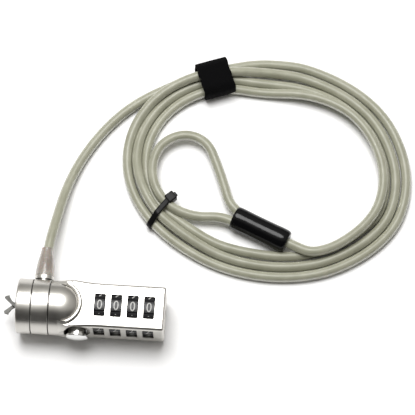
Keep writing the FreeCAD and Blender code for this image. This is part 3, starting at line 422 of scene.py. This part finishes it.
def rope_steel():
    """The twisted steel rope inside the jacket: bright wires with dark lay lines."""
    s = Shader("rope_steel")
    parts = s.node("ShaderNodeSeparateXYZ", {"Vector": s.coordinates("UV")})
    turns = s.maths("MULTIPLY", parts.outputs[0], 1 / ROPE_PITCH)
    twisted = s.maths("SUBTRACT", parts.outputs[1], turns)
    lay = s.maths("FRACT", s.maths("MULTIPLY", twisted, ROPE_STRANDS * WIRES_PER_STRAND))
    groove, wire = (0.20, 0.20, 0.17, 1), (0.74, 0.74, 0.68, 1)
    lines = s.ramp(lay, (0.0, groove), (0.45, wire), (1.0, groove))
    patches = s.noise(s.coordinates(), 300, 4)
    s.set(Base_Color=s.mixed(s.maths("MULTIPLY", patches, 0.5), lines, (0.62, 0.63, 0.56, 1)))
    s.set(Roughness=s.ramp(patches, (0.3, 0.30), (0.7, 0.48)), Metallic=0.6, Normal=s.bump(lay, 0.00005))
    return s.material


def relief_vinyl():
    """The strain relief: soft, warm, see-through vinyl."""
    s = Shader("relief_vinyl")
    place = s.coordinates()
    haze = s.noise(place, 220, 4)
    tint = s.ramp(haze, (0.35, (0.27, 0.235, 0.21, 1)), (0.65, (0.36, 0.32, 0.285, 1)))
    s.set(Base_Color=tint, Roughness=s.ramp(s.noise(place, 800, 3), (0.3, 0.16), (0.7, 0.30)), IOR=1.45)
    s.set(Transmission_Weight=0.15, Subsurface_Weight=0.3, Subsurface_Scale=0.0015)
    s.set(Normal=s.bump(haze, 0.00008))
    return s.material


def strap_weave():
    """Black hook-and-loop tape: a fine weave under short fuzzy loops."""
    s = Shader("strap_weave")
    uv = s.coordinates("UV")
    threads = {"Vector": uv, "Scale": 700.0, "Distortion": 0.6}
    warp = s.node("ShaderNodeTexWave", threads, bands_direction="X")
    weft = s.node("ShaderNodeTexWave", threads, bands_direction="Y")
    weave = s.maths("MULTIPLY", warp.outputs["Fac"], weft.outputs["Fac"])
    fuzz = s.noise(s.coordinates(), 2600, 6, 0.75)
    tone = s.mixed(s.maths("MULTIPLY", weave, fuzz), (0.0015, 0.0015, 0.0018, 1), (0.008, 0.008, 0.009, 1))
    s.set(Base_Color=tone, Roughness=s.ramp(fuzz, (0.3, 0.75), (0.7, 0.95)), Specular_IOR_Level=0.08)
    s.set(Normal=s.bump(s.maths("ADD", weave, fuzz), 0.00015))
    return s.material


def digit_paint():
    """White paint in the digits, slightly dirty and worn."""
    s = Shader("digit_paint")
    wear = s.noise(s.coordinates(), 1800, 5)
    s.set(Base_Color=s.ramp(wear, (0.3, (0.30, 0.30, 0.29, 1)), (0.6, (0.48, 0.48, 0.46, 1))))
    s.set(Roughness=s.ramp(wear, (0.3, 0.5), (0.7, 0.35)), Normal=s.bump(wear, 0.00002))
    return s.material


def floor_paper():
    """The pale sheet the lock lies on."""
    s = Shader("floor_paper")
    grain = s.noise(s.coordinates(), 900, 4)
    tint = s.ramp(grain, (0.3, (0.93, 0.93, 0.935, 1)), (0.7, (0.95, 0.95, 0.955, 1)))
    s.set(Base_Color=tint, Roughness=0.75)
    s.set(Specular_IOR_Level=0.2, Normal=s.bump(grain, 0.00001))
    return s.material


# ---------------------------------------------------------------- camera, floor and light


def make_camera():
    data = bpy.data.cameras.new("camera")
    data.lens = CAMERA_LENS
    data.sensor_width = 36
    data.clip_end = 10
    camera = bpy.data.objects.new("camera", data)
    bpy.context.scene.collection.objects.link(camera)
    level = Vector((-math.sin(CAMERA_YAW), math.cos(CAMERA_YAW), 0))
    look = level * math.cos(CAMERA_ELEVATION) - Vector((0, 0, 1)) * math.sin(CAMERA_ELEVATION)
    camera.location = CAMERA_AIM - look * CAMERA_DISTANCE
    camera.rotation_euler = look.to_track_quat("-Z", "Y").to_euler()
    bpy.context.scene.camera = camera


def make_floor():
    size = 3.0
    corners = [(-size, -size, 0), (size, -size, 0), (size, size, 0), (-size, size, 0)]
    floor = new_object("floor", corners, [(0, 1, 2, 3)], floor_paper())


def make_light(name, power, size, location, aim):
    data = bpy.data.lights.new(name, "AREA")
    data.energy = power
    data.shape = "DISK"
    data.size = size
    light = bpy.data.objects.new(name, data)
    bpy.context.scene.collection.objects.link(light)
    light.location = location
    light.rotation_euler = (Vector(aim) - Vector(location)).to_track_quat("-Z", "Y").to_euler()


def make_world():
    """A room whose far side and ceiling are bright; the camera's own side is dark, as is the horizon."""
    world = bpy.data.worlds.new("studio")
    bpy.context.scene.world = world
    world.use_nodes = True
    tree = world.node_tree
    background = tree.nodes["Background"]
    where = tree.nodes.new("ShaderNodeTexCoord")
    parts = tree.nodes.new("ShaderNodeSeparateXYZ")
    tree.links.new(where.outputs["Generated"], parts.inputs[0])

    def combined(operation, a, b):
        made = tree.nodes.new("ShaderNodeMath")
        made.operation = operation
        for socket, value in zip(made.inputs, (a, b)):
            if isinstance(value, bpy.types.NodeSocket):
                tree.links.new(value, socket)
            else:
                socket.default_value = value
        return made.outputs[0]

    def stepped(value, low, high, dark, bright):
        made = tree.nodes.new("ShaderNodeMapRange")
        made.interpolation_type = "SMOOTHSTEP"
        tree.links.new(value, made.inputs["Value"])
        for key, number in (("From Min", low), ("From Max", high), ("To Min", dark), ("To Max", bright)):
            made.inputs[key].default_value = number
        return made.outputs["Result"]

    away = combined("MULTIPLY", parts.outputs["Y"], BRIGHT_SIDE.y)
    far_side = combined("ADD", away, combined("MULTIPLY", parts.outputs["Z"], BRIGHT_SIDE.z))
    across = stepped(far_side, -0.08, 0.18, 0.04, 0.5)
    upwards = stepped(parts.outputs["Z"], 0.05, 0.55, 0.35, 1.0)
    tree.links.new(combined("MULTIPLY", across, upwards), background.inputs["Strength"])
    background.inputs["Color"].default_value = (1.0, 0.975, 0.92, 1)


def make_studio():
    make_camera()
    make_floor()
    make_world()
    make_light("key", power=11.5, size=0.65, location=(-0.08, 0.32, 1.0), aim=CAMERA_AIM)
    bpy.context.scene.view_settings.view_transform = "Standard"


# ---------------------------------------------------------------- cable


def coil_radius(angle):
    """The bundle's middle line, in millimetres from its centre: an oval with a slight lean and egg."""
    oval = COIL_OVAL * math.cos(2 * angle) + COIL_LEAN * math.sin(2 * angle)
    egg = COIL_EGG * math.cos(3 * angle) + COIL_EGG_LEAN * math.sin(3 * angle)
    return COIL_MEAN + oval + egg


def coil_point(angle, outwards, height):
    here = Vector((math.cos(angle), math.sin(angle), 0)) * coil_radius(angle)
    step = 0.001
    there = Vector((math.cos(angle + step), math.sin(angle + step), 0)) * coil_radius(angle + step)
    along = (there - here).normalized()
    out = Vector((along.y, -along.x, 0))
    return (COIL_CENTRE + here + out * outwards + Vector((0, 0, height)))


def strand_place(travel):
    """How far out and how high the strand lies after this many degrees of winding."""
    knots = [
        (turn * 360 + degrees, outwards, height)
        for turn, stretch in enumerate(COIL_TURNS)
        for degrees, outwards, height in stretch
    ]
    for (t0, o0, h0), (t1, o1, h1) in zip(knots, knots[1:]):
        if t0 <= travel <= t1:
            part = (travel - t0) / (t1 - t0)
            return o0 + (o1 - o0) * part, h0 + (h1 - h0) * part
    return knots[-1][1:]


def cable_controls():
    """The control points of the whole cable, in metres: lead, coil, tail, ferrule and loop."""
    widen = 1 / math.cos(math.radians(COIL_STEP / 2)) - 1
    coil = []
    for travel in range(COIL_FIRST, COIL_LAST + 1, COIL_STEP):
        outwards, height = strand_place(travel)
        angle = STRAP_ANGLE - math.radians(travel)
        coil.append(coil_point(angle, outwards + widen * coil_radius(angle), height))
    points = [Vector(p) for p in LEAD_ROUTE] + coil
    points += [Vector(p) for p in TAIL_ROUTE + LOOP_ROUTE]
    return [point * MM for point in points]


def make_route_curve(controls):
    curve = bpy.data.curves.new("cable_route", "CURVE")
    curve.dimensions = "3D"
    curve.resolution_u = 10
    spline = curve.splines.new("NURBS")
    spline.points.add(len(controls) - 1)
    for point, place in zip(spline.points, controls):
        point.co = (*place, 1)
    spline.order_u = 3
    spline.use_endpoint_u = True
    return curve


def cable_path():
    """The points of the route's own line."""
    curve = make_route_curve(cable_controls())
    carrier = bpy.data.objects.new("cable_route", curve)
    bpy.context.scene.collection.objects.link(carrier)
    bpy.context.view_layer.update()
    mesh = bpy.data.meshes.new_from_object(carrier)
    points = [v.co.copy() for v in mesh.vertices]
    bpy.data.objects.remove(carrier)
    bpy.data.meshes.remove(mesh)
    bpy.data.curves.remove(curve)
    return points


def jacket_outline(distance, angle):
    """The jacket is round, and the same all the way along."""
    return CABLE_RADIUS


def rope_outline(distance, angle):
    """The outline of the rope's strands, twisted round each other."""
    phase = ROPE_STRANDS * (angle - math.tau * distance / ROPE_PITCH)
    return ROPE_RADIUS * (1 - STRAND_RELIEF * (1 - abs(math.cos(phase / 2))))


def make_cable():
    path = cable_path()
    along_jacket = resampled(path, JACKET_STEP)
    along_rope = resampled(path, ROPE_STEP)
    jacket = swept("cable_jacket", along_jacket, jacket_vinyl(), jacket_outline, JACKET_SIDES)
    rope = swept("cable_rope", along_rope, rope_steel(), rope_outline, ROPE_SIDES)
    for piece in (jacket, rope):
        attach(piece, "cable_end")
    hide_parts("cable_lead", "cable_coil", "cable_tail", "cable_loop")
    return jacket, path


# ---------------------------------------------------------------- pieces on the cable


def bundle_axes(angle):
    """The place, outward direction and cable direction of the bundle at an angle."""
    place = coil_point(angle, 0, 0) * MM
    out = (coil_point(angle, 1, 0) * MM - place).normalized()
    return place, out, Vector((0, 0, 1)).cross(out)


def rounded_loop(inner, outer, low, high, corner, count):
    """Points round a rounded rectangle, as (outwards, height, normal outwards, normal up)."""
    centres = [
        (outer - corner, high - corner, 0),
        (inner + corner, high - corner, 90),
        (inner + corner, low + corner, 180),
        (outer - corner, low + corner, 270),
    ]
    points = []
    for x, z, start in centres:
        for k in range(count + 1):
            angle = math.radians(start + 90 * k / count)
            outwards, up = math.cos(angle), math.sin(angle)
            points.append((x + corner * outwards, z + corner * up, outwards, up))
    return points


def resample_loop(points, spacing):
    """A loop's points at an even spacing, closed."""
    out = []
    closed = points + points[:1]
    for a, b in zip(closed, closed[1:]):
        run = math.hypot(b[0] - a[0], b[1] - a[1])
        steps = max(1, round(run / spacing))
        out += [tuple(p + (q - p) * k / steps for p, q in zip(a, b)) for k in range(steps)]
    return out


def band(name, angle, loop, half, thick, edge_wave, material, turn=0.0, slant=0.0):
    """A flat tape wound round the bundle; edge_wave(k) moves its edges a little, and it is closed.
    It may be turned about the vertical, and slanted along the bundle by so much per step outwards."""
    place, out, along = bundle_axes(angle)
    inner = min(point[0] for point in loop)
    out, along = (axis @ Matrix.Rotation(-turn, 3, "Z") for axis in (out, along))
    rings = []
    count = len(loop)
    section = [
        (-1.0, 0.15), (-1.0, 0.85), (-0.96, 1.0), (-0.5, 1.04), (0.0, 1.05), (0.5, 1.04), (0.96, 1.0),
        (1.0, 0.85), (1.0, 0.15), (0.96, 0.0), (0.0, 0.0), (-0.96, 0.0),
    ]
    for k, (x, z, nx, nz) in enumerate(loop):
        ring = []
        for across, depth in section:
            reach = depth * thick
            ring.append(
                place
                + out * ((x + nx * reach) * MM)
                + Vector((0, 0, (z + nz * reach) * MM))
                + along * ((across * half + edge_wave(k / count) + slant * (x - inner)) * MM)
            )
        rings.append(ring)
    width = len(section)
    vertices = [point for ring in rings for point in ring]
    faces = []
    uvs = []
    for r in range(count):
        n = (r + 1) % count
        for k in range(width):
            m = (k + 1) % width
            faces.append((r * width + k, n * width + k, n * width + m, r * width + m))
            u0, u1 = r * BAND_STEP * MM, (r + 1) * BAND_STEP * MM
            v0, v1 = section[k][0] * half * MM, section[m][0] * half * MM
            uvs += [(u0, v0), (u1, v0), (u1, v1), (u0, v1)]
    piece = new_object(name, vertices, faces, material)
    layer = piece.data.uv_layers.new(name="UVMap")
    layer.data.foreach_set("uv", [value for uv in uvs for value in uv])
    return piece


def make_strap():
    """The hook-and-loop strap, lying slightly askew and a little creased."""
    weave = strap_weave()
    loop = resample_loop(rounded_loop(*STRAP_INSIDE, STRAP_CORNER, 8), BAND_STEP)

    def crease(part):
        return 0.22 * math.sin(9 * part) + 0.12 * math.sin(math.tau * 7 * part)

    strap = band(
        "strap_band", STRAP_ANGLE, loop, STRAP_HALF_WIDTH, STRAP_THICKNESS, crease, weave, turn=STRAP_TURN
    )
    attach(strap, "cable_end")
    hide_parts("cable_strap")
    return strap


def tight_loop(centres, reach, count):
    """A band drawn tight round several strands, as (outwards, height, normal outwards, normal up)."""
    points = []
    for k in range(count):
        angle = math.tau * k / count
        x, z = math.cos(angle), math.sin(angle)
        outwards, height = max(centres, key=lambda centre: centre[0] * x + centre[1] * z)
        points.append((outwards + reach * x, height + reach * z, x, z))
    return points


def make_tie():
    """The cable tie: a thin band drawn tight at a slant, with its square head on the inner side."""
    nylon = hard_plastic("tie_nylon", (0.004, 0.004, 0.004), 0.3, 0.45, shine=0.15)
    loop = resample_loop(tight_loop(TIE_STRANDS, TIE_REACH, 120), TIE_STEP)
    tie = band(
        "tie_band", TIE_ANGLE, loop, TIE_HALF_WIDTH, TIE_THICKNESS, lambda part: 0.0, nylon, slant=TIE_SLANT
    )
    place, out, along = bundle_axes(TIE_ANGLE)
    axes = (out, along, Vector((0, 0, 1)))
    middle = place + out * (TIE_HEAD_OUTWARDS * MM) + Vector((0, 0, TIE_HEAD_HEIGHT * MM))
    behind = middle - out * (TIE_TAIL_INWARDS * MM)
    head = chamfered_block("tie_head", middle, axes, TIE_HEAD_HALVES, 0.6, nylon)
    tail = chamfered_block("tie_tail", behind, axes, TIE_TAIL_HALVES, 0.25, nylon)
    for piece in (tie, head, tail):
        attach(piece, "cable_end")
    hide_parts("cable_tie")
    return [tie, head, tail]


def chamfered_block(name, middle, axes, halves, bevel, material):
    """A moulded block with rounded edges, turned to three axes; sizes in millimetres."""
    round_the_side = [(-1, -1), (1, -1), (1, 1), (-1, 1)]
    signs = [(*pair, level) for level in (-1, 1) for pair in round_the_side]
    vertices = [
        middle + sum((axis * sign * half * MM for axis, sign, half in zip(axes, corner, halves)), Vector())
        for corner in signs
    ]
    faces = [(0, 3, 2, 1), (4, 5, 6, 7), (0, 1, 5, 4), (1, 2, 6, 5), (2, 3, 7, 6), (3, 0, 4, 7)]
    piece = new_object(name, vertices, faces, material)
    rounding = piece.modifiers.new("rounding", "BEVEL")
    rounding.width = bevel * MM
    rounding.segments = 4
    return piece


def make_ferrule():
    """The glossy sleeve over the crimp, with soft ends and a slightly pinched middle."""
    gloss = hard_plastic("ferrule_gloss", (0.003, 0.003, 0.0035), 0.12, 0.2, 500, 0.00004, 0.2)
    axis = Vector((math.cos(FERRULE_TURN), math.sin(FERRULE_TURN), 0))
    half = FERRULE_LENGTH / 2 / MM
    knots = [
        (-half + 1.0, 4.3), (-half + 0.2, 4.35), (-half, 4.6), (-half + 0.3, 5.0), (-half + 1.2, 5.3),
        (-half + 4, 5.34), (-half + 9, 5.22), (half - 9, 5.24), (half - 4, 5.34), (half - 1.4, 5.2),
        (half - 0.4, 4.8), (half, 4.3), (half, 3.4), (half - 0.1, 2.6), (half - 0.8, 2.4),
    ]
    profile = [(a * MM, r * MM) for a, r in smooth_steps(knots, 4)]
    cover = turned("ferrule_sleeve", profile, FERRULE_CENTRE, axis, gloss)
    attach(cover, "cable_end")
    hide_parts("ferrule_cover")
    return cover


def make_sleeve():
    """The strain relief on the collar's boss."""
    length = (SLEEVE_HIGH.y - SLEEVE_LOW.y) / MM
    knots = [
        (0.0, 3.4), (0.0, 4.0), (0.35, 4.15), (1.2, 4.1), (0.3 * length, 3.92), (0.52 * length, 3.5),
        (0.74 * length, 2.92), (0.9 * length, 2.52), (length - 0.2, 2.44), (length, 2.36), (length, 2.28),
    ]
    profile = [(a * MM, r * MM) for a, r in smooth_steps(knots, 5)]
    origin = Vector((CABLE_X, SLEEVE_LOW.y, AXIS_HEIGHT))
    sleeve = turned("relief_sleeve", profile, origin, Vector((0, 1, 0)), relief_vinyl())
    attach(sleeve, "cable_end")
    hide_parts("cable_sleeve")
    return sleeve


# ---------------------------------------------------------------- lock head


def dress(node, material):
    """Give a CAD node its material."""
    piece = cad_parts[node]
    piece.data.materials.clear()
    piece.data.materials.append(material)


def dress_head():
    chrome = metal("satin_chrome", (0.62, 0.605, 0.57), 0.26, 0.36)
    for node in ("nose_cap", "swivel_collar", "housing", "top_cover", "end_plate"):
        dress(node, chrome)
    dress("release_button", metal("button_chrome", (0.80, 0.80, 0.79), 0.08, 0.16, 0.3, 0.15))
    claw = metal("claw_steel", (0.085, 0.085, 0.08), 0.35, 0.55, 0.8, 0.8)
    for node in ("claw_rear", "claw_front"):
        dress(node, claw)
    steel = metal("turned_steel", (0.60, 0.60, 0.60), 0.2, 0.4, 0.4, 0.9)
    for node in (
        "swivel_post", "thrust_washers", "cover_pins", "end_plate_pins", "code_screw", "detent_spring",
        "spindle", "drive_pin", "claw_pivot_pin", "button_stay_pin", "cable_end_stop", "ferrule_crimp",
    ):
        dress(node, steel)
    make_spring("button_spring", "release_button_body", (0, 1, 0), steel)
    make_spring("spindle_spring", "spindle_slide_body", (1, 0, 0), steel)
    brass = metal("sleeve_brass", (0.72, 0.55, 0.27), 0.2, 0.4)
    wheel = hard_plastic("dial_black", (0.006, 0.006, 0.007), 0.25, 0.4, shine=0.3)
    for dial in DIALS:
        dress(f"clutch_sleeve_{dial}", brass)
        dress(f"dial_wheel_{dial}", wheel)


def make_spring(node, body, axis, steel):
    """A coil spring of the CAD's own shape. It moves with the body that pushes it."""
    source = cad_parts[node]
    mesh = source.data.copy()
    mesh.transform(source.matrix_world)
    mesh.materials.clear()
    mesh.materials.append(steel)
    spring = bpy.data.objects.new(f"{node}_wire", mesh)
    bpy.context.scene.collection.objects.link(spring)
    axis = Vector(axis)
    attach(spring, body)
    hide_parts(node)
    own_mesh(spring)


def digit_mesh(text):
    """A digit's flat outline, as a thin slab in the XY plane, centred."""
    curve = bpy.data.curves.new("digit", "FONT")
    curve.body = text
    curve.size = FONT_SIZE
    curve.extrude = HALF_PAINT
    curve.resolution_u = 3
    curve.align_x = "CENTER"
    curve.align_y = "CENTER"
    carrier = bpy.data.objects.new("digit", curve)
    bpy.context.scene.collection.objects.link(carrier)
    bpy.context.view_layer.update()
    mesh = bpy.data.meshes.new_from_object(carrier)
    vertices = [v.co.copy() for v in mesh.vertices]
    faces = [tuple(p.vertices) for p in mesh.polygons]
    bpy.data.objects.remove(carrier)
    bpy.data.curves.remove(curve)
    bpy.data.meshes.remove(mesh)
    low = Vector([min(v[i] for v in vertices) for i in range(3)])
    high = Vector([max(v[i] for v in vertices) for i in range(3)])
    middle = (low + high) / 2
    return [v - middle for v in vertices], faces


def make_digits():
    """Ten painted digits bent round each wheel."""
    paint = digit_paint()
    shapes = [digit_mesh(str(digit)) for digit in range(10)]
    for dial in DIALS:
        low, high = (Vector(corner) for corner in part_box(f"dial_wheel_{dial}"))
        centre = (low + high) / 2
        radius = (high.y - low.y) / 2 + PAINT_LIFT
        vertices = []
        faces = []
        for digit, (points, polygons) in enumerate(shapes):
            start = len(vertices)
            for point in points:
                angle = math.tau * digit / 10 - point.y / radius
                reach = radius + point.z
                spot = Vector((point.x * DIGIT_NARROWING, -math.sin(angle) * reach, math.cos(angle) * reach))
                vertices.append(Vector((centre.x, 0, AXIS_HEIGHT)) + spot)
            faces += [tuple(start + v for v in polygon) for polygon in polygons]
        digits = new_object(f"dial_digits_{dial}", vertices, faces, paint, smooth=False)
        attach(digits, f"dial_{dial}")


# ---------------------------------------------------------------- the whole lock


def build():
    make_studio()
    jacket, path = make_cable()
    on_cable = [make_sleeve(), make_strap(), *make_tie(), make_ferrule()]
    on_cable += [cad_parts["ferrule_crimp"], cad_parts["cable_end_stop"]]
    dress_head()
    make_digits()


build()
